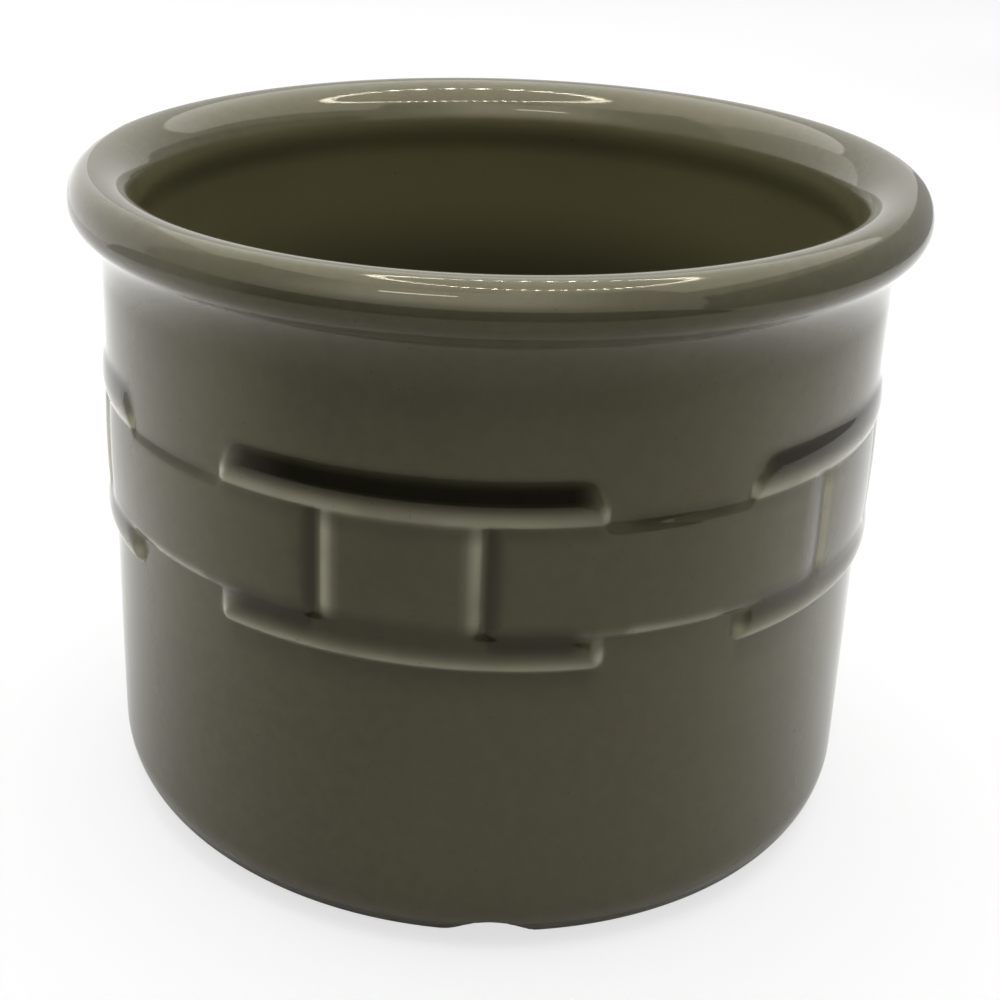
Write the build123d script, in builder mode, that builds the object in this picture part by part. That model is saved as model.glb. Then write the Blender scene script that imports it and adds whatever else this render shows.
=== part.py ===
"""Utensil crock: one fired and glazed stoneware pot, in millimetres.

The origin is on the table under the middle of the foot, with +Z up along the axis of the pot.
One crossing of the woven band faces -Y, and the crossings repeat evenly round the pot.
"""

from build123d import *
from math import cos, radians, sin, tan
import os

# Outside of the pot
crock_height = 114.3
rim_diameter = 146.0
rim_overhang = 5.2
wall_step = 0.7

# Rim: a thick roll, drawn back to the wall by a cove and to the inside by a lip
rim_width = 10.7
bead_radius = 4.4
bead_turn = 38.0
cove_turn = 24.0
cove_knee_share = 0.5
lip_turn = 60.0

# Inside of the pot
wall_thickness = 4.2
floor_thickness = 5.6
floor_corner = 8.5

# Heel, foot ring and the notches that let rinsing water out from under the foot
# The corners of the heel are shares of its width, outwards, and of its height, upwards
heel_width = 8.4
heel_height = 10.6
heel_shares = ((0.2, 0), (0.57, 0.15), (0.85, 0.43), (1, 0.8))
foot_width = 5.0
foot_recess = 2.2
notch_count = 3
notch_width = 16.0
notch_height = 1.8
notch_offset_turn = 13.5

# Woven band: upright splints, a wide weaver between them and a narrow bar above and below
crossing_count = 5
weaver_bottom = 57.5
weaver_height = 19.0
bar_overlap = 0.5
bar_height = 5.3
bar_land = 1.3
bar_flare = 2.2
bar_half_turn = 26.5
splint_half_turn = 10.8
valley_turn = 1.3
band_relief = 0.8
band_sink = 0.15
face_relief = 0.65
weaver_bow = 0.3
splint_bow = 0.1
bar_corner_radius = 1.6
weaver_corner_radius = 3.4
band_root = 1.6

# Places that follow from the sizes above
rim_radius = rim_diameter / 2
wall_radius = rim_radius - rim_overhang
lower_radius = wall_radius - wall_step
inner_radius = lower_radius - wall_thickness
crown_radius = rim_radius - bead_radius
bead_height = crock_height - bead_radius
bead_end_radius = crown_radius + bead_radius * cos(radians(bead_turn))
bead_end_height = bead_height - bead_radius * sin(radians(bead_turn))
cove_knee_radius = bead_end_radius - cove_knee_share * (bead_end_radius - wall_radius)
cove_knee_height = bead_end_height - (bead_end_radius - cove_knee_radius) / tan(radians(bead_turn))
cove_bottom = cove_knee_height - (cove_knee_radius - wall_radius) / tan(radians(cove_turn))
lip_radius = rim_width - bead_radius
lip_end_radius = crown_radius - lip_radius * sin(radians(lip_turn))
lip_end_height = crock_height - lip_radius * (1 - cos(radians(lip_turn)))
lip_foot_height = lip_end_height - (lip_end_radius - inner_radius) * tan(radians(lip_turn))
floor_height = foot_recess + floor_thickness
foot_radius = lower_radius - heel_width
foot_inner_radius = foot_radius - foot_width
heel_points = [(foot_radius + heel_width * out, heel_height * up) for out, up in heel_shares]
notch_radius = (notch_width**2 / 4 + notch_height**2) / (2 * notch_height)
weaver_top = weaver_bottom + weaver_height
weaver_half_turn = 180 / crossing_count - splint_half_turn - valley_turn
root_radius = lower_radius - band_root


def half_width(half_turn, radius):
    """Half the straight width of a stretch of the band, seen square on."""
    return radius * sin(radians(half_turn))


def strand(half_turn, bottom, height, bow, corner=0):
    """One bowed face of the band: its middle stands further out than its ends."""
    crest = wall_radius + face_relief
    half = half_width(half_turn, crest)
    rise = crest - (crest - bow) * cos(radians(half_turn))
    bow_radius = (half**2 + rise**2) / (2 * rise)
    with BuildPart() as face:
        with BuildSketch(Plane.XZ):
            with Locations((0, bottom + height / 2)):
                band = Rectangle(2 * half, height)
            if corner > 0:
                fillet(band.vertices(), radius=corner)
        extrude(amount=rim_radius)
        with BuildSketch(Plane.XY.offset(bottom - corner)):
            with Locations((0, bow_radius - crest)):
                Circle(bow_radius)
                Circle(bow_radius - face_relief - band_root, mode=Mode.SUBTRACT)
        extrude(amount=height + 2 * corner, mode=Mode.INTERSECT)
    return face.part


def bar(bottom):
    """A narrow bar: full relief along its lower edge, sloped back into the wall above."""
    crest = wall_radius + band_relief
    foot = wall_radius - band_sink
    top = bottom + bar_height + bar_flare
    with BuildPart() as strip:
        with BuildSketch(Plane.XZ):
            with Locations((0, (bottom + top) / 2)):
                band = Rectangle(2 * half_width(bar_half_turn, crest), top - bottom)
            fillet(band.vertices().group_by(Axis.Z)[0], radius=bar_corner_radius)
        extrude(amount=rim_radius)
        with BuildSketch(Plane.XZ):
            Polygon(
                (crest, bottom),
                (crest, bottom + bar_land),
                (foot, top),
                (root_radius, top),
                (root_radius, bottom),
                align=None,
            )
        revolve(mode=Mode.INTERSECT)
    return strip.part


weaver = strand(weaver_half_turn, weaver_bottom, weaver_height, weaver_bow, weaver_corner_radius)
splint = strand(
    splint_half_turn,
    weaver_bottom - bar_overlap,
    weaver_height + 2 * bar_overlap,
    splint_bow,
)
low_bar = bar(weaver_bottom + bar_overlap - bar_height)
high_bar = bar(weaver_top - bar_overlap)

# One drain notch, a shallow arch through the foot ring that faces -Y
with BuildPart() as drain_notch:
    with BuildSketch(Plane.XZ.offset(foot_inner_radius - foot_width)):
        with Locations((0, notch_height - notch_radius)):
            Circle(notch_radius)
    extrude(amount=foot_width + foot_width + heel_width)

with BuildPart() as crock:
    with BuildSketch(Plane.XZ):
        with BuildLine():
            Polyline(
                (0, foot_recess),
                (foot_inner_radius, foot_recess),
                (foot_inner_radius, 0),
                *heel_points,
                (lower_radius, weaver_bottom + weaver_corner_radius),
                (wall_radius, weaver_bottom + 2 * weaver_corner_radius),
                (wall_radius, cove_bottom),
                (cove_knee_radius, cove_knee_height),
                (bead_end_radius, bead_end_height),
            )
            CenterArc((crown_radius, bead_height), bead_radius, -bead_turn, 90 + bead_turn)
            CenterArc((crown_radius, crock_height - lip_radius), lip_radius, 90, lip_turn)
            Polyline(
                (lip_end_radius, lip_end_height),
                (inner_radius, lip_foot_height),
                (inner_radius, floor_height + floor_corner),
                (inner_radius - floor_corner, floor_height),
                (0, floor_height),
                (0, foot_recess),
            )
        make_face()
    revolve()
    with PolarLocations(0, notch_count, start_angle=notch_offset_turn):
        add(drain_notch.part, mode=Mode.SUBTRACT)
    with PolarLocations(0, crossing_count):
        add([splint, low_bar, high_bar])
    with PolarLocations(0, crossing_count, start_angle=180 / crossing_count):
        add(weaver)

crock.part.label = "crock"
os.makedirs("parts", exist_ok=True)
export_step(crock.part, "parts/crock.step")
print("crock", round(crock.part.volume), crock.part.is_valid, len(crock.part.solids()))
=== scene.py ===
"""Looks of the utensil crock: a glazed stoneware pot with a woven band pressed round its wall.

Lengths are in metres. The crock stands on the floor at the origin with its axis along +Z.
"""

from math import atan, cos, pi, radians, sin
from types import SimpleNamespace

import bmesh
import bpy
from mathutils import Matrix, Vector


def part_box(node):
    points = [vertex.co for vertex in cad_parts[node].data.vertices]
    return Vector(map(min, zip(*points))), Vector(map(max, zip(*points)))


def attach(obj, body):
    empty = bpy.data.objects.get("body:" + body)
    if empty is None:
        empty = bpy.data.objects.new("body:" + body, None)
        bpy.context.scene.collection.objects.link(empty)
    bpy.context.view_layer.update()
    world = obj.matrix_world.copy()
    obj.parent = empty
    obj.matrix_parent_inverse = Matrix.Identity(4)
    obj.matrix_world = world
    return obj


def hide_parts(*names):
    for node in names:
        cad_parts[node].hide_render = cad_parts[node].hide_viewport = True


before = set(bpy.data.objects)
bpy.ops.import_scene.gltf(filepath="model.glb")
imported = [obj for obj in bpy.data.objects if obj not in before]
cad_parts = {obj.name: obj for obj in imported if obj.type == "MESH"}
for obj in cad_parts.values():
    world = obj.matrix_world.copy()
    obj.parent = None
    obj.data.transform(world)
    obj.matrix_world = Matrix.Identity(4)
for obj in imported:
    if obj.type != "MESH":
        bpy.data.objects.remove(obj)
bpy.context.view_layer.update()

# The pot's own sizes. Its height comes from the frame, and the rest follows the solid or, where
# the solid is simpler, the photograph.
LOW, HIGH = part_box("crock")
POT_HEIGHT = HIGH.z - LOW.z
RIM_RADIUS = 0.073
WALL_RADIUS = 0.0678
LOWER_RADIUS = 0.0671
CROWN_RADIUS = 0.0692
BEAD_HEIGHT = 0.1093
BEAD_RADIUS = 0.0048
COVE_DROP = 0.0127
COVE_BOTTOM = BEAD_HEIGHT - COVE_DROP
MOUTH_RADIUS = 0.0613
LIP_DROP = 0.0077
UNDERCUT_DROP = 0.007
INNER_RADIUS = 0.0631
FLOOR_HEIGHT = 0.0078
FLOOR_CORNER = 0.012
HEEL_WIDTH = 0.0084
HEEL_HEIGHT = 0.0106
FOOT_WIDTH = 0.005
FOOT_RECESS = 0.0022
FOOT_ROUND = 0.0007

# The woven band
CROSSINGS = 5
WEAVER_BOTTOM = 0.0575
WEAVER_HEIGHT = 0.019
BAR_OVERLAP = 0.0008
BAR_HEIGHT = 0.0062
BAR_LAND = 0.0011
BAR_FLARE = 0.0017
BAR_HALF_TURN = radians(26.5)
SPLINT_HALF_TURN = radians(10.8)
VALLEY_TURN = radians(1.3)
BAND_RELIEF = 0.0009
FACE_RELIEF = 0.0006

# Drain notches under the foot
NOTCHES = 3
NOTCH_WIDTH = 0.0182
NOTCH_HEIGHT = 0.0018
NOTCH_SCOOP = 3.1
NOTCH_TURN = radians(13.5)

# Steps of the turned mesh: between its rows, along the arcs of its section, and round the pot
FINE_ROW, MIDDLING_ROW, COARSE_ROW = 0.0003, 0.0006, 0.005
FACE_ROW, UPPER_ROW, INNER_ROW = 0.0012, 0.0014, 0.012
HEEL_STEPS, COVE_STEPS, BEAD_STEPS, CROWN_STEPS, LIP_STEPS, FLOOR_STEPS = 18, 16, 6, 14, 16, 10
RECESS_STEPS, FOOT_STEPS = 3, 4
RECESS_SHARES, FOOT_SHARES, FLOOR_SHARES = (0.3, 0.7), (0.4, 0.7), (0.75, 0.5, 0.25)
UNDERCUT_SHARES = (0.15, 0.35, 0.55, 0.75, 1.0)
NARROW_COLUMN, WIDE_COLUMN, EDGE_REACH = radians(0.4), radians(0.95), radians(2.2)

# How far the close rows reach from the band's level edges, downwards and upwards
BAR_ROWS_DOWN, BAR_ROWS_UP = 3 * FINE_ROW, 8 * FINE_ROW
WEAVER_ROWS_DOWN, WEAVER_ROWS_UP = 2 * FINE_ROW, 5 * FINE_ROW
STEP_ROWS_UP, TUCK_ROWS_DOWN, FLARE_ROWS_UP = 0.0045, 0.004, 0.003


def arc_points(centre, across, up, start, end, count):
    """Points of an elliptical arc in the pot's section, both ends included."""
    turns = [start + (end - start) * i / count for i in range(count + 1)]
    return [(centre[0] + across * cos(t), centre[1] + up * sin(t)) for t in turns]


def spread(start, end, step):
    """Evenly spaced values from start up to, but not including, end."""
    count = max(1, round(abs(end - start) / step))
    return [start + (end - start) * i / count for i in range(count)]


def foot_and_heel():
    """The section from the middle of the underside, over the foot ring, to the top of the heel."""
    heel = LOWER_RADIUS - HEEL_WIDTH
    ring = heel - FOOT_WIDTH
    recess_corner = (ring - FOOT_ROUND, FOOT_RECESS - FOOT_ROUND)
    ring_corner = (ring + FOOT_ROUND, FOOT_ROUND)
    points = [(ring * share, FOOT_RECESS) for share in RECESS_SHARES]
    points += arc_points(recess_corner, FOOT_ROUND, FOOT_ROUND, pi / 2, 0, RECESS_STEPS)
    points += arc_points(ring_corner, FOOT_ROUND, FOOT_ROUND, pi, 1.5 * pi, FOOT_STEPS)
    points += [(ring + FOOT_WIDTH * share, 0) for share in FOOT_SHARES]
    return points + arc_points((heel, HEEL_HEIGHT), HEEL_WIDTH, HEEL_HEIGHT, -pi / 2, 0, HEEL_STEPS)


def wall_heights():
    """Heights of the outer wall's rows, drawn closer together where the band has level edges."""
    low_bar = WEAVER_BOTTOM + BAR_OVERLAP - BAR_HEIGHT
    high_bar = WEAVER_BOTTOM + WEAVER_HEIGHT - BAR_OVERLAP
    stretches = (
        (low_bar - BAR_ROWS_DOWN, COARSE_ROW),
        (low_bar + BAR_ROWS_UP, FINE_ROW),
        (WEAVER_BOTTOM - WEAVER_ROWS_DOWN, MIDDLING_ROW),
        (WEAVER_BOTTOM + WEAVER_ROWS_UP, FINE_ROW),
        (WEAVER_BOTTOM + STEP_ROWS_UP, MIDDLING_ROW),
        (high_bar - TUCK_ROWS_DOWN, FACE_ROW),
        (high_bar - BAR_ROWS_DOWN, MIDDLING_ROW),
        (high_bar + BAR_ROWS_UP, FINE_ROW),
        (high_bar + BAR_HEIGHT + BAR_FLARE + FLARE_ROWS_UP, MIDDLING_ROW),
        (COVE_BOTTOM, UPPER_ROW),
    )
    heights = []
    start = HEEL_HEIGHT
    for end, step in stretches:
        heights += spread(start, end, step)
        start = end
    return heights[1:]


def cove_and_rim():
    """The section from the foot of the cove, round the rolled rim, to the inner edge of the lip."""
    cove_turn = 2 * atan((RIM_RADIUS - WALL_RADIUS) / COVE_DROP)
    cove_radius = COVE_DROP / sin(cove_turn) - BEAD_RADIUS
    cove = (WALL_RADIUS + cove_radius, COVE_BOTTOM)
    bead = (RIM_RADIUS - BEAD_RADIUS, BEAD_HEIGHT)
    crown = (CROWN_RADIUS, BEAD_HEIGHT)
    crown_width, crown_height = RIM_RADIUS - CROWN_RADIUS, POT_HEIGHT - BEAD_HEIGHT
    lip = (CROWN_RADIUS, POT_HEIGHT - LIP_DROP)
    points = arc_points(cove, cove_radius, cove_radius, pi, pi - cove_turn, COVE_STEPS)
    points += arc_points(bead, BEAD_RADIUS, BEAD_RADIUS, -cove_turn, 0, BEAD_STEPS)[1:]
    points += arc_points(crown, crown_width, crown_height, 0, pi / 2, CROWN_STEPS)[1:]
    return points + arc_points(lip, CROWN_RADIUS - MOUTH_RADIUS, LIP_DROP, pi / 2, pi, LIP_STEPS)[1:]


def inner_wall_and_floor():
    """The section from under the lip, down the inner wall, to the middle of the floor."""
    lip_bottom = POT_HEIGHT - LIP_DROP
    corner = (INNER_RADIUS - FLOOR_CORNER, FLOOR_HEIGHT + FLOOR_CORNER)
    undercut = (INNER_RADIUS - MOUTH_RADIUS) / 2
    points = []
    for share in UNDERCUT_SHARES:
        radius = MOUTH_RADIUS + undercut * (1 - cos(pi * share))
        points.append((radius, lip_bottom - UNDERCUT_DROP * share))
    heights = spread(lip_bottom - UNDERCUT_DROP, corner[1], INNER_ROW)[1:]
    points += [(INNER_RADIUS, height) for height in heights]
    points += arc_points(corner, FLOOR_CORNER, FLOOR_CORNER, 0, -pi / 2, FLOOR_STEPS)
    return points + [(corner[0] * share, FLOOR_HEIGHT) for share in FLOOR_SHARES]


def column_turns():
    """Turns of the mesh's columns, drawn closer together where the band has upright edges."""
    edges = (SPLINT_HALF_TURN + VALLEY_TURN / 2, BAR_HALF_TURN - VALLEY_TURN / 2)
    half = pi / CROSSINGS
    steps = []
    turn = 0.0
    while turn < half:
        near = min(abs(turn - edge) for edge in edges)
        steps.append(turn)
        turn += NARROW_COLUMN if near < EDGE_REACH else WIDE_COLUMN
    scale = half / turn
    one_side = [step * scale for step in steps]
    crossing = one_side + [2 * half - step for step in one_side[:0:-1]] + [half]
    return sorted(2 * half * k + step for k in range(CROSSINGS) for step in crossing)


def turned_pot():
    """The plain pot: its section turned round the axis as one closed mesh."""
    wall = [(WALL_RADIUS, height) for height in wall_heights()]
    section = foot_and_heel() + wall + cove_and_rim() + inner_wall_and_floor()
    turns = column_turns()
    mesh = bmesh.new()
    rings = []
    for radius, height in section:
        rings.append([mesh.verts.new((radius * sin(t), -radius * cos(t), height)) for t in turns])
    pairs = [(i, (i + 1) % len(turns)) for i in range(len(turns))]
    for low, high in zip(rings, rings[1:]):
        for i, j in pairs:
            mesh.faces.new((low[i], low[j], high[j], high[i]))
    under = mesh.verts.new((0, 0, FOOT_RECESS))
    inside = mesh.verts.new((0, 0, FLOOR_HEIGHT))
    for i, j in pairs:
        mesh.faces.new((under, rings[0][j], rings[0][i]))
        mesh.faces.new((inside, rings[-1][i], rings[-1][j]))
    for face in mesh.faces:
        face.smooth = True
    data = bpy.data.meshes.new("turned_pot")
    mesh.to_mesh(data)
    mesh.free()
    return data


class Wiring:
    """Adds and joins nodes in one tree."""

    def __init__(self, tree):
        self.tree = tree

    def node(self, kind, **settings):
        made = self.tree.nodes.new(kind)
        for name, setting in settings.items():
            setattr(made, name, setting)
        return made

    def feed(self, socket, item):
        """Joins an output to a socket, or sets the socket's own value."""
        if isinstance(item, bpy.types.NodeSocket):
            self.tree.links.new(item, socket)
        else:
            socket.default_value = item

    def math(self, operation, *items):
        made = self.node("ShaderNodeMath", operation=operation)
        for socket, item in zip(made.inputs, items):
            self.feed(socket, item)
        return made.outputs[0]

    def plus(self, a, b):
        return self.math("ADD", a, b)

    def less(self, a, b):
        return self.math("SUBTRACT", a, b)

    def times(self, a, b):
        return self.math("MULTIPLY", a, b)

    def over(self, a, b):
        return self.math("DIVIDE", a, b)

    def larger(self, a, b):
        return self.math("MAXIMUM", a, b)

    def smaller(self, a, b):
        return self.math("MINIMUM", a, b)

    def unsigned(self, a):
        return self.math("ABSOLUTE", a)

    def squared(self, a):
        return self.times(a, a)

    def length(self, a, b):
        return self.math("SQRT", self.math("MULTIPLY_ADD", a, a, self.squared(b)))

    def share(self, a, b):
        """The share that a is of b, kept between 0 and 1."""
        return self.smaller(self.larger(self.over(a, b), 0.0), 1.0)

    def bell(self, a):
        """1 where a is 0, and falling off smoothly on both sides."""
        return self.math("EXPONENT", self.times(self.squared(a), -1.0))

    def ease(self, item, start, end, low=0.0, high=1.0):
        """A smooth step from low at start to high at end."""
        made = self.node("ShaderNodeMapRange", interpolation_type="SMOOTHSTEP")
        for socket, entry in zip(made.inputs, (item, start, end, low, high)):
            self.feed(socket, entry)
        return made.outputs[0]

    def fade(self, item, start, end):
        """A smooth step from 1 at start to 0 at end."""
        return self.ease(item, start, end, 1.0, 0.0)

    def rise_at(self, item, level, span):
        """A smooth step from 0 to 1, over a span measured from a level."""
        return self.ease(item, *(self.plus(level, off) for off in span))

    def fall_at(self, item, level, span):
        """A smooth step from 1 to 0, over a span measured from a level."""
        return self.fade(item, *(self.plus(level, off) for off in span))

    def parts(self, vector):
        """The x, y and z of a vector."""
        split = self.node("ShaderNodeSeparateXYZ")
        self.feed(split.inputs[0], vector)
        return split.outputs

    def noise(self, place, scale, detail, rough=0.5, stretch=(1.0, 1.0, 1.0)):
        """Cloudy noise for a material."""
        mapping = self.node("ShaderNodeMapping")
        self.feed(mapping.inputs["Vector"], place)
        mapping.inputs["Scale"].default_value = stretch
        made = self.node("ShaderNodeTexNoise")
        self.feed(made.inputs["Vector"], mapping.outputs[0])
        made.inputs["Scale"].default_value = scale
        made.inputs["Detail"].default_value = detail
        made.inputs["Roughness"].default_value = rough
        return made.outputs[0]

    def mix(self, share, a, b):
        """A colour between two others, each an output or red, green and blue."""
        made = self.node("ShaderNodeMix", data_type="RGBA")
        self.feed(made.inputs["Factor"], share)
        for socket, item in ((made.inputs["A"], a), (made.inputs["B"], b)):
            self.feed(socket, item if isinstance(item, bpy.types.NodeSocket) else (*item, 1.0))
        return made.outputs["Result"]


def inside_box(w, across, up, half_width, bottom, top, corner):
    """How deep a point of the wall lies inside a round-cornered stretch of the band."""
    half_height = w.times(w.less(top, bottom), 0.5)
    level = w.unsigned(w.less(up, w.plus(bottom, half_height)))
    past_side = w.plus(w.less(across, half_width), corner)
    past_end = w.plus(w.less(level, half_height), corner)
    outside = w.length(w.larger(past_side, 0.0), w.larger(past_end, 0.0))
    within = w.smaller(w.larger(past_side, past_end), 0.0)
    return w.less(corner, w.plus(outside, within))


def rounded(w, depth, width, low, high, fullness=0.5):
    """Height of a stretch's surface, rounded from its edge up into its face.

    A fullness of 0.5 is a quarter of an ellipse, and 1 a softer, shallower shoulder.
    """
    short = w.less(1.0, w.share(depth, width))
    rise = w.math("POWER", w.less(1.0, w.squared(short)), fullness)
    return w.math("MULTIPLY_ADD", rise, w.less(high, low), low)


BAND_SIZES = (
    ("Wall radius", WALL_RADIUS),
    ("Lower radius", LOWER_RADIUS),
    ("Crossings", CROSSINGS),
    ("Weaver bottom", WEAVER_BOTTOM),
    ("Weaver height", WEAVER_HEIGHT),
    ("Bar overlap", BAR_OVERLAP),
    ("Bar height", BAR_HEIGHT),
    ("Bar land", BAR_LAND),
    ("Bar flare", BAR_FLARE),
    ("Flare drop", 0.00095),
    ("Bar half turn", BAR_HALF_TURN),
    ("Splint half turn", SPLINT_HALF_TURN),
    ("Valley turn", VALLEY_TURN),
    ("Bar relief", BAND_RELIEF),
    ("Face relief", FACE_RELIEF),
    ("Face bow", 0.00022),
    ("Splint edge", 0.0029),
    ("Weaver edge", 0.0022),
    ("Weaver dip", 0.0052),
    ("Weaver top edge", 0.003),
    ("Tuck", 0.0022),
    ("Bar edge", 0.0025),
    ("Bar end fade", 2.4),
    ("Foot of splint", 0.0045),
    ("Melt", 0.0004),
    ("Corner depth", 0.0001),
    ("Flare melt", 0.0003),
    ("Band low", 0.0125),
    ("Band high", COVE_BOTTOM + 0.0001),
    ("Notches", NOTCHES),
    ("Notch width", NOTCH_WIDTH),
    ("Notch height", NOTCH_HEIGHT),
    ("Notch scoop", NOTCH_SCOOP),
    ("Notch melt", 0.0006),
    ("Notch turn", NOTCH_TURN),
    ("Unevenness", 0.00012),
    ("Seed", 7.0),
)

# How far the strands run on behind one another, and how round their corners are
ROOT_DEPTH = 0.0002
SPLINT_TAIL, SPLINT_HEAD, SPLINT_CORNER = 0.004, 0.0022, 0.0008
SPLINT_FOOT_DROP = 0.0014
VALLEY_SHARE = 0.25
WEAVER_HEAD, WEAVER_CORNER = 0.006, 0.0012
WEAVER_HIDDEN_SHARE = 0.8
DIP_SHARE = 0.85
TUCK_RISE, TUCK_WIDTH = 0.0008, 0.0025
BAR_HEAD, BAR_CORNER = 0.004, 0.0022
BAR_FULLNESS = 0.8
LOW_BAR_SOFTNESS, HIGH_BAR_SOFTNESS = 2.2, 1.0
MELT_SPAN = (0.3, 0.7)

# The step in the wall behind the weaver, and the filled corners under it, beside the splints.
# A span is where a smooth step starts and ends. Here both heights are from the weaver's bottom.
STEP_HEIGHT = (0.001, 0.006)
FILLED_HEIGHT, FILLED_WIDTH = (-0.004, -0.002), (0.002, 0.006)

# Where the glaze thins on each strand, shown with a painted highlight: the ridge's place and reach,
# as shares of the edge's width, and how near the strand's own surface has to be to the band's for
# its ridge to show
WEAVER_RIDGE, SPLINT_RIDGE = (0.4, 0.4), (0.45, 0.45)
LOW_BAR_RIDGE, HIGH_BAR_RIDGE = (0.4, 0.5), (0.45, 0.6)
RIDGE_SHOWS = (-0.0003, -0.00006)

# The ends of the bars, where the glaze thins less and the painted highlight is weaker: spans from
# the bar's bottom, top and end
END_RISE, END_FALL, END_WIDTH = (0.0022, 0.0042), (0.0, 0.002), (0.002, 0.0045)
END_DIMMING = 0.8

# Where the glaze pools, and where painted shade darkens the band, as spans from the edges of the
# strands, and how far it does there
# On the bars' flares the pooled glaze is darkened further, a painted dark reflection
FLARE_RISE, FLARE_FALL, FLARE_WIDTH = (0.0026, 0.0047), (-0.0016, 0.0012), (0.0005, 0.0065)
LOW_FLARE_SPAN, LOW_FLARE_DARKENS, HIGH_FLARE_DARKENS = (-0.0005, 0.0015), (0.5, 0.85), 1.0
# Just under each bar's lower edge the darkening is painted shade
UNDER_RISE, UNDER_FALL, UNDER_WIDTH = (-0.003, 0.0), (0.0, 0.0008), (0.0, 0.003)
UNDER_EDGE_SHADE = 0.3
# In the valleys, the weaver's upper crease and the splints' lower corners: pooled glaze with painted
# shade
ON_WEAVER, OFF_SPLINT = (0.0, 0.0015), (-0.0003, 0.0002)
VALLEY_FALL, VALLEY_WIDTH = (-0.001, 0.0005), (0.0005, 0.0035)
VALLEY_DARKENS = 0.8
CREASE_REACH, CREASE_WIDTH = 0.0013, (0.0, 0.005)
CREASE_DARKENS = 0.5
CORNER_RISE, CORNER_FALL = (-0.0022, -0.0002), (0.0004, 0.0035)
CORNER_START, CORNER_WIDTH = (-0.0004, 0.0004), (0.001, 0.006)
CORNER_DARKENS = 0.85

# What the band and the notches may move, and the unevenness of the whole pot
WALL_DEPTH = 0.0015
WALL_MARGIN = 0.00005
LEAST_RADIUS = 0.001
UNEVEN_SCALE, UNEVEN_DETAIL = 26.0, 1.0
SCOOP_START, SCOOP_END = 0.0585, 0.0665
NOTCH_INNER_RADIUS, NOTCH_TOP = 0.05, 0.0075
NOTCH_WIDEST_TURN = 1.5


def point_on_pot(w, given):
    """Where a point lies against the band, with the levels and edges that the strands share."""
    place = w.node("GeometryNodeInputPosition").outputs[0]
    x, y, z = w.parts(place)
    at = SimpleNamespace(given=given, place=place, x=x, y=y, z=z)
    at.radius = w.length(x, y)
    at.turn = w.math("ARCTAN2", x, w.times(y, -1.0))
    at.half_step = w.over(pi, given["Crossings"])
    at.turn_off = w.math("PINGPONG", at.turn, at.half_step)
    at.wall = given["Wall radius"]
    at.bottom = given["Weaver bottom"]
    at.top = w.plus(at.bottom, given["Weaver height"])

    # Distances along the wall from the middle of the splint, and from the edges of splint and bar
    at.from_splint = w.times(at.turn_off, at.wall)
    at.splint_half = w.times(given["Splint half turn"], at.wall)
    at.bar_half = w.times(given["Bar half turn"], at.wall)
    valley = w.times(given["Valley turn"], w.times(at.wall, VALLEY_SHARE))
    at.past_splint = w.less(at.from_splint, w.plus(at.splint_half, valley))
    at.past_bar = w.less(at.from_splint, at.bar_half)
    at.into_bar = w.less(at.bar_half, at.from_splint)

    # The weaver and the splints bow out a little from a root just under the wall
    middle = w.times(w.plus(at.bottom, at.top), 0.5)
    off_middle = w.over(w.less(z, middle), w.times(given["Weaver height"], 0.5))
    bow = w.times(w.squared(off_middle), given["Face bow"])
    at.crest = w.less(w.plus(at.wall, given["Face relief"]), bow)
    at.root = w.less(given["Lower radius"], ROOT_DEPTH)
    return at


def splint_strand(w, at):
    """An upright splint, with a soft foot that sinks behind the lower bar."""
    low, high = w.less(at.bottom, SPLINT_TAIL), w.plus(at.top, SPLINT_HEAD)
    depth = inside_box(w, at.from_splint, at.z, at.splint_half, low, high, SPLINT_CORNER)
    above_bar = w.less(at.z, w.less(at.bottom, SPLINT_FOOT_DROP))
    face = rounded(w, above_bar, at.given["Foot of splint"], at.root, at.crest)
    edge = at.given["Splint edge"]
    return SimpleNamespace(depth=depth, edge=edge, height=rounded(w, depth, edge, at.root, face))


def weaver_strand(w, at):
    """The weaver, which sinks where it goes behind the splints. Its upper edge is the softest."""
    given = at.given
    near = w.less(1.0, w.share(at.past_splint, given["Weaver dip"]))
    dip = w.times(w.squared(near), w.times(given["Face relief"], DIP_SHARE))
    hidden = w.times(given["Splint half turn"], WEAVER_HIDDEN_SHARE)
    half = w.times(w.less(at.half_step, hidden), at.wall)
    across = w.times(w.less(at.half_step, at.turn_off), at.wall)
    high = w.plus(at.top, WEAVER_HEAD)
    depth = inside_box(w, across, at.z, half, at.bottom, high, WEAVER_CORNER)
    tuck = w.ease(at.into_bar, 0.0, TUCK_WIDTH, 0.0, given["Tuck"])
    below_top = w.less(w.plus(w.plus(at.top, TUCK_RISE), tuck), at.z)
    face = rounded(w, below_top, given["Weaver top edge"], at.root, w.less(at.crest, dip))
    edge = given["Weaver edge"]
    return SimpleNamespace(depth=depth, edge=edge, height=rounded(w, depth, edge, at.root, face))


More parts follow.
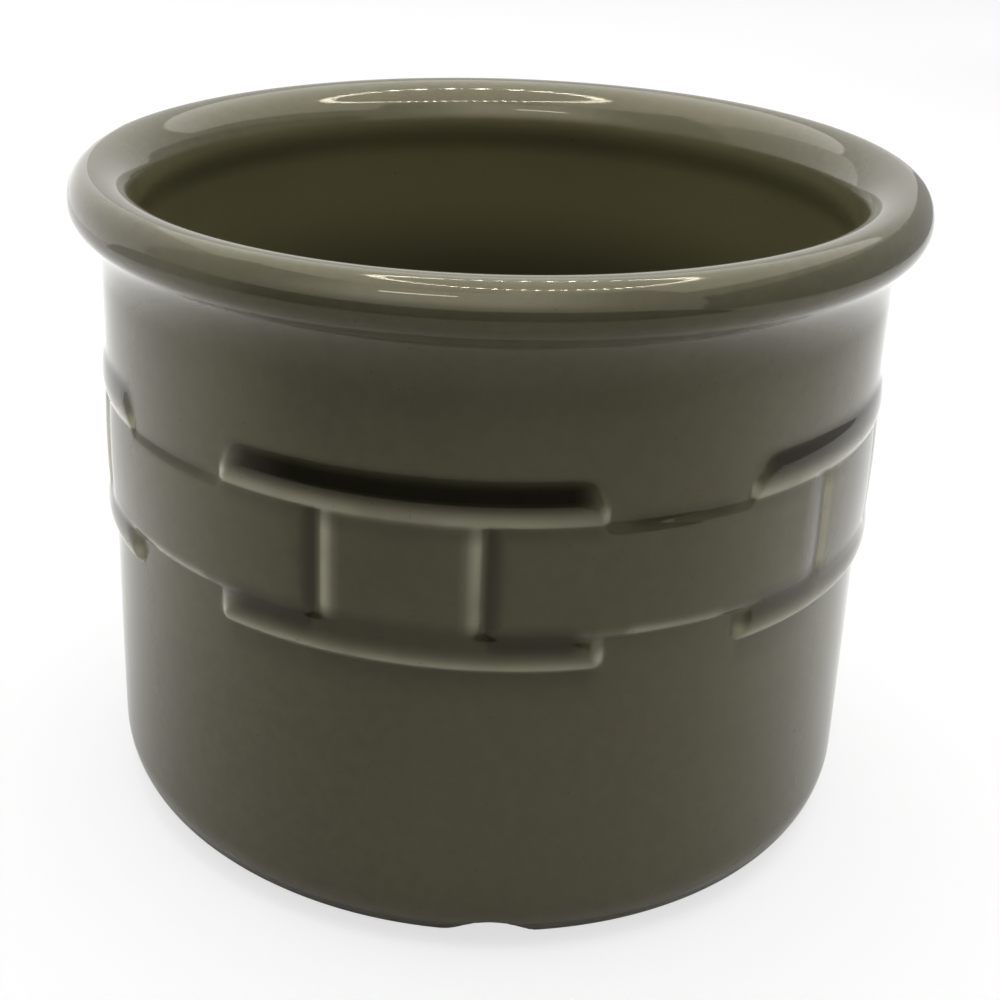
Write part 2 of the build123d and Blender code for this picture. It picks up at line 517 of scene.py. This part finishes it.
def bar_strand(w, at, start, softness):
    """A bar that stands proud along its lower edge and flares back into what is above it."""
    given = at.given
    end = w.plus(w.plus(start, given["Bar height"]), given["Bar flare"])
    flare_start = w.plus(start, given["Bar land"])
    lean = w.over(w.larger(w.less(at.z, flare_start), 0.0), w.less(end, flare_start))
    proud = w.plus(at.wall, given["Bar relief"])
    face = w.less(proud, w.times(w.squared(lean), given["Flare drop"]))
    high = w.plus(end, BAR_HEAD)
    depth = inside_box(w, at.from_splint, at.z, at.bar_half, start, high, BAR_CORNER)
    widening = w.math("MULTIPLY_ADD", w.smaller(lean, 1.0), given["Bar end fade"], 1.0)
    edge = w.times(given["Bar edge"], widening)
    height = rounded(w, depth, edge, at.root, face, BAR_FULLNESS)
    full_melt = w.plus(given["Melt"], w.times(given["Flare melt"], softness))
    melt = w.ease(lean, *MELT_SPAN, given["Melt"], full_melt)
    return SimpleNamespace(
        depth=depth, edge=given["Bar edge"], height=height, start=start, end=end, melt=melt
    )


def wall_behind_band(w, at):
    """The wall behind the band, stepped at the weaver's foot and filled beside the splints."""
    given = at.given
    step = (w.plus(at.bottom, off) for off in STEP_HEIGHT)
    base = w.ease(at.z, *step, given["Lower radius"], at.wall)
    off_edge = w.unsigned(w.less(at.from_splint, at.splint_half))
    by_corner = w.fade(off_edge, *FILLED_WIDTH)
    by_corner = w.times(by_corner, w.rise_at(at.z, at.bottom, FILLED_HEIGHT))
    fill = w.less(w.less(at.wall, given["Corner depth"]), at.root)
    return w.larger(base, w.math("MULTIPLY_ADD", fill, by_corner, at.root))


def melted_shape(w, at, weaver, splint, bars):
    """The band's whole surface: where its shapes meet, the glaze melts them together."""
    melt = at.given["Melt"]
    shape = w.math("SMOOTH_MAX", wall_behind_band(w, at), weaver.height, melt)
    shape = w.math("SMOOTH_MAX", shape, splint.height, melt)
    for bar in bars:
        shape = w.math("SMOOTH_MAX", shape, bar.height, bar.melt)
    return shape


def thin_glaze_and_highlight(w, at, shape, weaver, splint, bars):
    """How far the glaze thins over the edges that stand proud, with a painted highlight along them."""
    thin_and_highlight = 0.0
    for strand, (middle, reach) in (
        (weaver, WEAVER_RIDGE), (splint, SPLINT_RIDGE), *zip(bars, (LOW_BAR_RIDGE, HIGH_BAR_RIDGE)),
    ):
        off_ridge = w.less(strand.depth, w.times(strand.edge, middle))
        ridge = w.bell(w.over(off_ridge, w.times(strand.edge, reach)))
        shows = w.ease(w.less(strand.height, shape), *RIDGE_SHOWS)
        thin_and_highlight = w.larger(thin_and_highlight, w.times(ridge, shows))
    for bar in bars:
        rises, falls = w.rise_at(at.z, bar.start, END_RISE), w.fall_at(at.z, bar.end, END_FALL)
        by_end = w.fade(w.unsigned(at.past_bar), *END_WIDTH)
        on_end = w.times(w.times(rises, falls), by_end)
        thin_and_highlight = w.times(thin_and_highlight, w.less(1.0, w.times(on_end, END_DIMMING)))
    return thin_and_highlight


def pooling_and_shade_on_bars(w, at, bars):
    """How far the glaze pools on the flares of the bars, darkened further as a painted dark reflection,
    and the painted shade a little under their lower edges.
    """
    pooled_and_shade = 0.0
    on_low_flare = w.ease(at.past_splint, *LOW_FLARE_SPAN, *LOW_FLARE_DARKENS)
    for bar, most in zip(bars, (on_low_flare, HIGH_FLARE_DARKENS)):
        # On the flare: pooled glaze, darkened further as a painted dark reflection
        rises, falls = w.rise_at(at.z, bar.start, FLARE_RISE), w.fall_at(at.z, bar.end, FLARE_FALL)
        on_flare = w.times(w.times(rises, falls), w.ease(at.into_bar, *FLARE_WIDTH))
        pooled_and_shade = w.larger(pooled_and_shade, w.times(on_flare, most))
        # Painted shade a little under the bar's lower edge
        rises, falls = w.rise_at(at.z, bar.start, UNDER_RISE), w.fall_at(at.z, bar.start, UNDER_FALL)
        under = w.times(w.times(rises, falls), w.ease(at.into_bar, *UNDER_WIDTH))
        pooled_and_shade = w.larger(pooled_and_shade, w.times(under, UNDER_EDGE_SHADE))
    return pooled_and_shade


def pooling_and_shade_between_strands(w, at, pooled_and_shade, weaver, splint):
    """Adds the darkening in the valleys, the upper crease and the splints' lower corners: pooled glaze
    with painted shade.
    """
    in_band = w.times(w.ease(weaver.depth, *ON_WEAVER), w.fade(splint.depth, *OFF_SPLINT))
    in_band = w.times(in_band, w.fall_at(at.z, at.top, VALLEY_FALL))
    valley = w.times(w.fade(at.past_splint, *VALLEY_WIDTH), in_band)
    pooled_and_shade = w.larger(pooled_and_shade, w.times(valley, VALLEY_DARKENS))
    crease = w.bell(w.over(w.less(at.z, at.top), CREASE_REACH))
    crease = w.times(crease, w.ease(at.past_bar, *CREASE_WIDTH))
    pooled_and_shade = w.larger(pooled_and_shade, w.times(crease, CREASE_DARKENS))
    corner = w.times(w.fade(at.past_splint, *CORNER_WIDTH), w.ease(at.past_splint, *CORNER_START))
    corner = w.times(corner, w.rise_at(at.z, at.bottom, CORNER_RISE))
    corner = w.times(corner, w.fall_at(at.z, at.bottom, CORNER_FALL))
    return w.larger(pooled_and_shade, w.times(corner, CORNER_DARKENS))


def move_outwards(w, at, shape, on_band, above):
    """The share of its radius that a point moves outwards: to the band, or in to the heel."""
    given = at.given
    on_heel = w.math("GREATER_THAN", at.radius, w.less(at.wall, WALL_MARGIN))
    to_band = w.times(w.less(shape, at.radius), on_band)
    to_heel = w.times(w.less(given["Lower radius"], at.radius), w.times(on_heel, w.less(1.0, above)))
    noise = w.node("ShaderNodeTexNoise", noise_dimensions="4D")
    w.feed(noise.inputs["Vector"], at.place)
    w.feed(noise.inputs["W"], given["Seed"])
    noise.inputs["Scale"].default_value = UNEVEN_SCALE
    noise.inputs["Detail"].default_value = UNEVEN_DETAIL
    uneven = w.times(noise.outputs[0], given["Unevenness"])
    return w.over(w.less(w.plus(to_band, to_heel), uneven), w.larger(at.radius, LEAST_RADIUS))


def lift_over_notches(w, at):
    """Low points of the foot rise to the drain notches' shallow arches, scooped up the heel."""
    given = at.given
    notch_half_step = w.over(pi, given["Notches"])
    notch_off = w.math("PINGPONG", w.less(at.turn, given["Notch turn"]), notch_half_step)
    beside = w.times(w.math("SINE", w.smaller(notch_off, NOTCH_WIDEST_TURN)), at.radius)
    half = w.times(given["Notch width"], 0.5)
    height = given["Notch height"]
    diagonal = w.math("MULTIPLY_ADD", half, half, w.squared(height))
    arch_radius = w.over(diagonal, w.times(height, 2.0))
    drop = w.less(w.squared(arch_radius), w.squared(beside))
    arch = w.plus(w.less(height, arch_radius), w.math("SQRT", w.larger(drop, 0.0)))
    arch = w.times(arch, w.ease(at.radius, SCOOP_START, SCOOP_END, 1.0, given["Notch scoop"]))
    outside_recess = w.math("GREATER_THAN", at.radius, NOTCH_INNER_RADIUS)
    at_foot = w.times(outside_recess, w.math("LESS_THAN", at.z, NOTCH_TOP))
    return w.times(w.less(w.math("SMOOTH_MAX", at.z, arch, given["Notch melt"]), at.z), at_foot)


def woven_band():
    """The tree that presses the woven band into the wall, cuts the drain notches and glazes the pot."""
    tree = bpy.data.node_groups.new("woven_band", "GeometryNodeTree")
    face = tree.interface
    face.new_socket("Pot", in_out="INPUT", socket_type="NodeSocketGeometry")
    for name, size in BAND_SIZES:
        face.new_socket(name, in_out="INPUT", socket_type="NodeSocketFloat").default_value = size
    face.new_socket("Glaze", in_out="INPUT", socket_type="NodeSocketMaterial")
    face.new_socket("Pot", in_out="OUTPUT", socket_type="NodeSocketGeometry")
    w = Wiring(tree)
    given = w.node("NodeGroupInput").outputs
    at = point_on_pot(w, given)

    # The strands, and the surface and the glaze that they make together, with the painted highlight and
    # shade on that glaze
    low_start = w.less(w.plus(at.bottom, given["Bar overlap"]), given["Bar height"])
    high_start = w.less(at.top, given["Bar overlap"])
    weaver, splint = weaver_strand(w, at), splint_strand(w, at)
    bars = (
        bar_strand(w, at, low_start, LOW_BAR_SOFTNESS),
        bar_strand(w, at, high_start, HIGH_BAR_SOFTNESS),
    )
    shape = melted_shape(w, at, weaver, splint, bars)
    pooled_and_shade = pooling_and_shade_on_bars(w, at, bars)
    thin_and_highlight = w.times(thin_glaze_and_highlight(w, at, shape, weaver, splint, bars), w.less(1.0, pooled_and_shade))
    pooled_and_shade = pooling_and_shade_between_strands(w, at, pooled_and_shade, weaver, splint)

    # Only the outer wall takes the band
    on_wall = w.math("GREATER_THAN", at.radius, w.less(given["Lower radius"], WALL_DEPTH))
    above = w.math("GREATER_THAN", at.z, given["Band low"])
    below = w.math("LESS_THAN", at.z, given["Band high"])
    on_band = w.times(w.times(on_wall, above), below)
    outwards = move_outwards(w, at, shape, on_band, above)
    move = w.node("ShaderNodeCombineXYZ")
    w.feed(move.inputs[0], w.times(at.x, outwards))
    w.feed(move.inputs[1], w.times(at.y, outwards))
    w.feed(move.inputs[2], lift_over_notches(w, at))

    shaped = given["Pot"]
    # Stored for the glaze: thin glaze with a painted highlight, and pooled glaze with painted shade
    for name, field in (("glaze_thin_and_highlight", thin_and_highlight), ("glaze_pooled_and_shade", pooled_and_shade)):
        store = w.node("GeometryNodeStoreNamedAttribute", data_type="FLOAT", domain="POINT")
        store.inputs["Name"].default_value = name
        w.feed(store.inputs["Geometry"], shaped)
        w.feed(store.inputs["Value"], w.times(field, on_band))
        shaped = store.outputs[0]
    shift = w.node("GeometryNodeSetPosition")
    w.feed(shift.inputs["Geometry"], shaped)
    w.feed(shift.inputs["Offset"], move.outputs[0])
    real = w.node("GeometryNodeRealizeInstances")
    w.feed(real.inputs[0], shift.outputs[0])
    coat = w.node("GeometryNodeSetMaterial")
    w.feed(coat.inputs["Geometry"], real.outputs[0])
    w.feed(coat.inputs["Material"], given["Glaze"])
    w.feed(w.node("NodeGroupOutput").inputs[0], coat.outputs[0])
    return tree


# Colours of the glaze and of the bare clay under the foot
GLAZE_BODY = (0.0905, 0.085, 0.051)
GLAZE_DEEP = (0.0725, 0.068, 0.0405)
GLAZE_LIGHT = (0.124, 0.118, 0.069)
# Paler, browner glaze where it thins over proud edges; it also paints the highlight along them
GLAZE_THIN_AND_HIGHLIGHT = (0.41, 0.392, 0.283)
# Paler, warmer glaze inside the mouth, which paints the light bouncing round the inside
INSIDE_GLAZE_AND_BOUNCE_LIGHT = (0.138, 0.125, 0.062)
GLAZE_INSIDE_LOW = (0.04, 0.036, 0.0182)
# Near-black glaze where it pools and in specks; in the band's hollows it also paints shade
GLAZE_POOLED_SPECKS_AND_SHADE = (0.0085, 0.0079, 0.0042)
CLAY_LIGHT = (0.62, 0.56, 0.46)
CLAY_DARK = (0.47, 0.41, 0.33)

# The glaze's patterns, as scales of noise and as how much of each one shows
DRIFT_SCALE, MOTTLE_SCALE, SPECK_SCALE, PATCH_SCALE = 22.0, 420.0, 1500.0, 60.0
DRIFT_STRETCH = (1.0, 1.0, 0.5)
DRIFT_SPAN, MOTTLE_SPAN, SPECK_SPAN, PATCH_SPAN = (0.3, 0.7), (0.3, 0.72), (0.74, 0.8), (0.25, 0.6)
MOTTLE_SHOWS, SPECK_SHOWS, THIN_AND_HIGHLIGHT_SHOWS, POOLED_AND_SHADE_SHOWS = 0.22, 0.35, 0.85, 0.96
THIN_AND_HIGHLIGHT_PATCHES, INSIDE_DRIFTS = (0.55, 1.0), (0.7, 0.95)
BARE_EDGE_SCALE, BARE_EDGE_DRIFT, BARE_SPAN = 260.0, 0.0003, (0.00012, 0.0003)
CLAY_SCALE, CLAY_SPAN = 1800.0, (0.35, 0.65)
WAVE_SCALE, GRAIN_SCALE, GRAIN_SHARE = 75.0, 1100.0, 0.03

# The glaze's gloss, and where the inside's darker and warmer glaze, with its painted bounce light,
# starts
GLOSSIEST, LEAST_GLOSSY = 0.04, 0.07
CLAY_ROUGHNESS, INSIDE_ROUGHNESS = 0.6, 0.18
GLAZE_IOR = 1.5
GLAZE_SHEEN = (1.0, 0.91, 0.7, 1.0)
BUMP_STRENGTH, BUMP_HEIGHT = 0.12, 0.00012
INSIDE_RADIUS = WALL_RADIUS - 0.002
INSIDE_TOP = (POT_HEIGHT - 0.0085, POT_HEIGHT - 0.004)
INSIDE_BOTTOM = (0.003, 0.006)
INSIDE_PALER = (0.068, 0.094)


def glaze():
    """Olive glaze: paler and browner where it thins over edges, with a painted highlight there,
    darker where it pools and in painted shade, warmer inside with painted bounce light, and glossy.
    """
    material = bpy.data.materials.new("olive_glaze")
    material.use_nodes = True
    w = Wiring(material.node_tree)
    material.node_tree.nodes.clear()
    place = w.node("ShaderNodeTexCoord").outputs["Object"]
    x, y, height = w.parts(place)

    # Slow drifts of thicker and thinner glaze, fine mottling, and small dark specks
    drift = w.ease(w.noise(place, DRIFT_SCALE, detail=2.0, stretch=DRIFT_STRETCH), *DRIFT_SPAN)
    mottle = w.ease(w.noise(place, MOTTLE_SCALE, detail=3.0, rough=0.6), *MOTTLE_SPAN)
    specks = w.ease(w.noise(place, SPECK_SCALE, detail=1.0), *SPECK_SPAN)
    colour = w.mix(drift, GLAZE_DEEP, GLAZE_BODY)
    colour = w.mix(w.times(mottle, MOTTLE_SHOWS), colour, GLAZE_LIGHT)

    # Inside the mouth the glaze is warmer and paler, which paints the light bouncing round the inside,
    # and low down inside it is much darker
    within = w.math("LESS_THAN", w.length(x, y), INSIDE_RADIUS)
    within = w.times(within, w.fade(height, *INSIDE_TOP))
    within = w.times(within, w.ease(height, *INSIDE_BOTTOM))
    inside = w.mix(w.ease(height, *INSIDE_PALER), GLAZE_INSIDE_LOW, INSIDE_GLAZE_AND_BOUNCE_LIGHT)
    colour = w.mix(w.times(within, w.ease(drift, 0.0, 1.0, *INSIDE_DRIFTS)), colour, inside)

    # Thin glaze with a painted highlight, and pooled glaze with painted shade, on the band, as the
    # woven band's tree stores them
    thin_and_highlight = w.node("ShaderNodeAttribute", attribute_name="glaze_thin_and_highlight").outputs["Fac"]
    pooled_and_shade = w.node("ShaderNodeAttribute", attribute_name="glaze_pooled_and_shade").outputs["Fac"]
    patchy = w.ease(w.noise(place, PATCH_SCALE, detail=2.0), *PATCH_SPAN, *THIN_AND_HIGHLIGHT_PATCHES)
    colour = w.mix(w.times(w.times(thin_and_highlight, patchy), THIN_AND_HIGHLIGHT_SHOWS), colour, GLAZE_THIN_AND_HIGHLIGHT)
    colour = w.mix(w.times(pooled_and_shade, POOLED_AND_SHADE_SHOWS), colour, GLAZE_POOLED_SPECKS_AND_SHADE)
    colour = w.mix(w.times(specks, SPECK_SHOWS), colour, GLAZE_POOLED_SPECKS_AND_SHADE)

    # The ring that stood on the kiln shelf is bare
    edge = w.times(w.noise(place, BARE_EDGE_SCALE, detail=2.0), BARE_EDGE_DRIFT)
    bare = w.fade(w.less(height, edge), *BARE_SPAN)
    grog = w.ease(w.noise(place, CLAY_SCALE, detail=3.0), *CLAY_SPAN)
    colour = w.mix(bare, colour, w.mix(grog, CLAY_DARK, CLAY_LIGHT))

    # The bare clay is matt, and the inside a little less glossy than the outside
    rough = w.ease(mottle, 0.0, 1.0, GLOSSIEST, LEAST_GLOSSY)
    rough = w.plus(rough, w.times(bare, CLAY_ROUGHNESS))
    rough = w.plus(rough, w.times(within, INSIDE_ROUGHNESS))

    # Faint unevenness of the fired surface
    waves = w.noise(place, WAVE_SCALE, detail=1.0)
    grain = w.noise(place, GRAIN_SCALE, detail=1.0)
    bump = w.node("ShaderNodeBump")
    bump.inputs["Strength"].default_value = BUMP_STRENGTH
    bump.inputs["Distance"].default_value = BUMP_HEIGHT
    w.feed(bump.inputs["Height"], w.plus(waves, w.times(grain, GRAIN_SHARE)))
    shader = w.node("ShaderNodeBsdfPrincipled")
    shader.inputs["IOR"].default_value = GLAZE_IOR
    shader.inputs["Specular Tint"].default_value = GLAZE_SHEEN
    w.feed(shader.inputs["Base Color"], colour)
    w.feed(shader.inputs["Roughness"], rough)
    w.feed(shader.inputs["Normal"], bump.outputs[0])
    w.feed(w.node("ShaderNodeOutputMaterial").inputs[0], shader.outputs[0])
    return material


def linked(name, data):
    """A new object in the scene that shows a mesh, a lamp or a camera."""
    made = bpy.data.objects.new(name, data)
    bpy.context.collection.objects.link(made)
    return made


def pressed_pot(olive_glaze):
    """The finished pot: the turned body with the woven band pressed in, as a plain mesh."""
    plain = linked("turned_pot", turned_pot())
    tree = woven_band()
    press = plain.modifiers.new("woven_band", "NODES")
    press.node_group = tree
    for item in tree.interface.items_tree:
        if item.in_out == "INPUT" and item.name == "Glaze":
            press[item.identifier] = olive_glaze
    plain.update_tag()
    seen = plain.evaluated_get(bpy.context.evaluated_depsgraph_get())
    data = bpy.data.meshes.new_from_object(seen)
    data.name = "crock_pot"
    pot = linked("crock_pot", data)
    bpy.data.objects.remove(plain)
    return pot


pot = pressed_pot(glaze())
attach(pot, "root")
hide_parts("crock")

# The studio: a white floor in a tent of cloth that is open in front, low down
WHITE = (1.0, 1.0, 1.0)
BLACK = (0.0, 0.0, 0.0)
MATT = 0.9
FLOOR_FRONT, FLOOR_BACK, FLOOR_SIDE = -0.37, 3.5, 3
FLOOR_TONE, FLOOR_SHADE = (0.9, 0.9, 0.9), (0.42, 0.42, 0.42)
SHADE_PLACE, SHADE_REACH, SHADE_CORE = (0.062, -0.28), 0.36, 0.35
SHADE_NARROWING = 0.8
FLOOR_CLEAN_SHARE = 0.7
OPENING_TONE, OPENING_HEIGHT = (0.004, 0.004, 0.004), 0.13
OPENING_SIDE, OPENING_SIDE_GLOW = (-0.345, -0.215), 0.75
FRONT_CLOTH_SIDES, FRONT_CLOTH_RISE, FRONT_CLOTH_EXTRA = (0.12, 0.42), (OPENING_HEIGHT, 0.32), 1.7
SCREEN_STEPS = 24
GREY_TONE = (0.36, 0.36, 0.36)
WINDOW_TONE, WINDOW_GLOW = (0.6, 0.6, 0.6), 1.6
STRIP_GLOW = 13.0
AIR_GLOW = 0.3

# Corners of the strip lamp and of the tent's side walls
STRIP_CORNERS = [
    (-0.115, -0.37, 0.352),
    (0.015, -0.40, 0.382),
    (0.015, -0.392, 0.4),
    (-0.115, -0.362, 0.37),
]
RIGHT_CORNERS = [(0.5, -0.3, 0), (0.2, 0.8, 0), (0.2, 0.8, 0.3), (0.5, -0.3, 0.3)]
LEFT_CORNERS = [(-0.5, -0.2, 0), (-0.5, 0.9, 0), (-0.5, 0.9, 0.6), (-0.5, -0.2, 0.6)]

# The ring of small lamps in the tent's roof, which shows as rows of dots on the rim
RING_PLACE = (0.057, -0.017, 0.494)
RING_RADIUS = 0.168
RING_LAMPS = 56
RING_LAMP_LONG, RING_LAMP_WIDE = 0.012, 0.0018
RING_LAMP_SIDES = 12
RING_TONE, RING_GLOW = (1.0, 1.0, 0.97), 90.0

# The camera's place and turns, which are those of the photograph
CAMERA_PLACE = (0.04997, -0.28118, 0.18236)
CAMERA_DOWN = radians(21.93)
CAMERA_TURN = radians(13.94)
CAMERA_ROLL = radians(0.75)
CAMERA_LENS, CAMERA_SENSOR = 60.70, 36.0
CAMERA_SHIFT = (0.12, -0.094)
CAMERA_NEAR = 0.01


def plain_material(name, colour, glow=0.0):
    """A plain matt or glowing material for the studio."""
    material = bpy.data.materials.new(name)
    material.use_nodes = True
    shader = material.node_tree.nodes["Principled BSDF"]
    shader.inputs["Base Color"].default_value = (*colour, 1.0)
    shader.inputs["Roughness"].default_value = MATT
    shader.inputs["Emission Color"].default_value = (*colour, 1.0)
    shader.inputs["Emission Strength"].default_value = glow
    return material


def placed_wiring(material):
    """A studio material's wiring and shader, with the x, y and z of the point that is shaded."""
    w = Wiring(material.node_tree)
    shader = material.node_tree.nodes["Principled BSDF"]
    return w, shader, w.parts(w.node("ShaderNodeTexCoord").outputs["Object"])


def floor_cloth():
    """White cloth, greyer in front of the pot, where less light reaches it.

    The camera sees it as nearly white, with the pot's shadow still on it.
    """
    material = plain_material("white_cloth", FLOOR_TONE)
    w, shader, (x, y, _) = placed_wiring(material)
    across = w.times(w.less(x, SHADE_PLACE[0]), SHADE_NARROWING)
    off = w.length(across, w.less(y, SHADE_PLACE[1]))
    at_camera = w.node("ShaderNodeLightPath").outputs["Is Camera Ray"]
    shaded = w.times(w.fade(off, SHADE_REACH * SHADE_CORE, SHADE_REACH), w.less(1.0, at_camera))
    w.feed(shader.inputs["Base Color"], w.mix(shaded, FLOOR_TONE, FLOOR_SHADE))
    clean = w.node("ShaderNodeEmission")
    clean.inputs["Strength"].default_value = 1.0
    both = w.node("ShaderNodeMixShader")
    w.feed(both.inputs[0], w.times(at_camera, FLOOR_CLEAN_SHARE))
    w.feed(both.inputs[1], shader.outputs[0])
    w.feed(both.inputs[2], clean.outputs[0])
    w.feed(material.node_tree.nodes["Material Output"].inputs[0], both.outputs[0])
    return material


def opening_cloth():
    """The unlit room beyond the tent's open front, with the window's light on its left side."""
    material = plain_material("dark_cloth", OPENING_TONE)
    w, shader, (x, _, _) = placed_wiring(material)
    shader.inputs["Emission Color"].default_value = (*WHITE, 1.0)
    w.feed(shader.inputs["Emission Strength"], w.ease(x, *OPENING_SIDE, OPENING_SIDE_GLOW, 0.0))
    return material


def lit_front_cloth():
    """The cloth above the tent's open front, brightest high up in its middle."""
    material = plain_material("lit_front_cloth", BLACK)
    w, shader, (x, _, z) = placed_wiring(material)
    middle = w.fade(w.unsigned(x), *FRONT_CLOTH_SIDES)
    extra = w.times(w.times(middle, w.ease(z, *FRONT_CLOTH_RISE)), FRONT_CLOTH_EXTRA)
    shader.inputs["Emission Color"].default_value = (*WHITE, 1.0)
    w.feed(shader.inputs["Emission Strength"], w.plus(1.0, extra))
    return material


def sheet(name, points, faces, material, camera):
    """A thin studio sheet in one material, which the camera sees or doesn't see."""
    data = bpy.data.meshes.new(name)
    data.from_pydata(points, [], faces)
    data.materials.append(material)
    made = linked(name, data)
    made.visible_camera = camera
    return made


def slab(name, corners, material, camera=True):
    """A flat studio panel. Panels that only light or shade the pot are kept from the camera."""
    panel = sheet(name, corners, [tuple(range(len(corners)))], material, camera)
    return panel


def round_screen(name, radius, start, end, low, high, material, drop=0.0):
    """A screen bent round the front of the pot, seen only as a reflection in the glaze.

    Its upper edge drops towards its ends by a share of its height.
    """
    points = []
    for level in (0.0, 1.0):
        for i in range(SCREEN_STEPS + 1):
            share = i / SCREEN_STEPS
            t = start + (end - start) * share
            top = low + (high - low) * level * (1 - drop * (2 * share - 1) ** 6)
            points.append((radius * sin(t), -radius * cos(t), top))
    above = SCREEN_STEPS + 1
    faces = [(i, i + 1, i + 1 + above, i + above) for i in range(SCREEN_STEPS)]
    screen = sheet(name, points, faces, material, camera=False)
    return screen


def lamp(name, place, aim, across, up, watts):
    """A soft rectangular lamp that shines towards a point."""
    data = bpy.data.lights.new(name, "AREA")
    data.shape = "RECTANGLE"
    data.size, data.size_y = across, up
    data.energy = watts
    light = linked(name, data)
    light.location = place
    light.rotation_euler = (Vector(aim) - Vector(place)).to_track_quat("-Z", "Y").to_euler()


def studio_air():
    """White air all round for the camera and for reflections, with a softer light from it."""
    world = bpy.data.worlds.new("studio_air")
    bpy.context.scene.world = world
    world.use_nodes = True
    world.node_tree.nodes.clear()
    w = Wiring(world.node_tree)
    soft, clear = w.node("ShaderNodeBackground"), w.node("ShaderNodeBackground")
    soft.inputs["Color"].default_value = (*WHITE, 1.0)
    soft.inputs["Strength"].default_value = AIR_GLOW
    clear.inputs["Color"].default_value = (*WHITE, 1.0)
    path = w.node("ShaderNodeLightPath").outputs
    seen = w.larger(path["Is Camera Ray"], w.larger(path["Is Glossy Ray"], path["Is Transmission Ray"]))
    both = w.node("ShaderNodeMixShader")
    w.feed(both.inputs[0], seen)
    w.feed(both.inputs[1], soft.outputs[0])
    w.feed(both.inputs[2], clear.outputs[0])
    w.feed(w.node("ShaderNodeOutputWorld").inputs[0], both.outputs[0])


def ring_of_lamps():
    """Small oblong lamps in a ring, each one pointing outwards from the ring's middle."""
    dots = bmesh.new()
    outwards = Matrix.Translation((RING_RADIUS, 0.0, 0.0))
    oblong = Matrix.Diagonal((RING_LAMP_LONG, RING_LAMP_WIDE, 1.0, 1.0))
    for k in range(RING_LAMPS):
        turned = Matrix.Rotation(2 * pi * k / RING_LAMPS, 4, "Z")
        place = Matrix.Translation(RING_PLACE) @ turned @ outwards @ oblong
        bmesh.ops.create_circle(dots, cap_ends=True, segments=RING_LAMP_SIDES, radius=1.0, matrix=place)
    data = bpy.data.meshes.new("lamp_ring")
    dots.to_mesh(data)
    dots.free()
    data.materials.append(plain_material("dot_glow", RING_TONE, RING_GLOW))
    lamp_ring = linked("lamp_ring", data)
    lamp_ring.visible_camera = False


def photo_camera():
    """The camera, which stands where the photograph was taken from."""
    data = bpy.data.cameras.new("photo_camera")
    data.lens, data.sensor_width = CAMERA_LENS, CAMERA_SENSOR
    data.shift_x, data.shift_y = CAMERA_SHIFT
    data.clip_start = CAMERA_NEAR
    camera = linked("photo_camera", data)
    ahead = cos(CAMERA_DOWN)
    forward = Vector((-ahead * sin(CAMERA_TURN), ahead * cos(CAMERA_TURN), -sin(CAMERA_DOWN)))
    level = Vector((cos(CAMERA_TURN), sin(CAMERA_TURN), 0.0))
    upright = level.cross(forward)
    right = cos(CAMERA_ROLL) * level + sin(CAMERA_ROLL) * upright
    top = -sin(CAMERA_ROLL) * level + cos(CAMERA_ROLL) * upright
    turned = Matrix((right, top, -forward)).transposed().to_4x4()
    camera.matrix_world = Matrix.Translation(CAMERA_PLACE) @ turned
    return camera


floor_corners = [
    (-FLOOR_SIDE, FLOOR_FRONT, 0),
    (FLOOR_SIDE, FLOOR_FRONT, 0),
    (FLOOR_SIDE, FLOOR_BACK, 0),
    (-FLOOR_SIDE, FLOOR_BACK, 0),
]
slab("studio_floor", floor_corners, floor_cloth())

# The tent's front: open and dark low down, with lit cloth and a strip lamp above the opening
round_screen(
    "front_opening", radius=0.36, start=radians(-98), end=radians(66), low=0.0, high=OPENING_HEIGHT,
    material=opening_cloth(), drop=0.9,
)
front_cloth = round_screen(
    "front_cloth", radius=0.5, start=radians(-80), end=radians(60), low=OPENING_HEIGHT, high=0.75,
    material=lit_front_cloth(),
)
front_cloth.visible_diffuse = False
strip_glow = plain_material("strip_glow", WHITE, STRIP_GLOW)
slab("strip_lamp", STRIP_CORNERS, strip_glow, camera=False).visible_diffuse = False

# Cloth walls of the tent, out of the camera's sight: the left one has the window behind it
slab("right_wall", RIGHT_CORNERS, plain_material("grey_cloth", GREY_TONE), camera=False)
window_cloth = plain_material("window_cloth", WINDOW_TONE, WINDOW_GLOW)
slab("left_wall", LEFT_CORNERS, window_cloth, camera=False)

studio_air()
lamp("tent_roof", place=(-0.35, 0.3, 0.8), aim=(-0.35, 0.3, 0.0), across=2.5, up=1.6, watts=17.4)
ring_of_lamps()
bpy.context.scene.camera = photo_camera()
bpy.context.scene.view_settings.view_transform = "Standard"
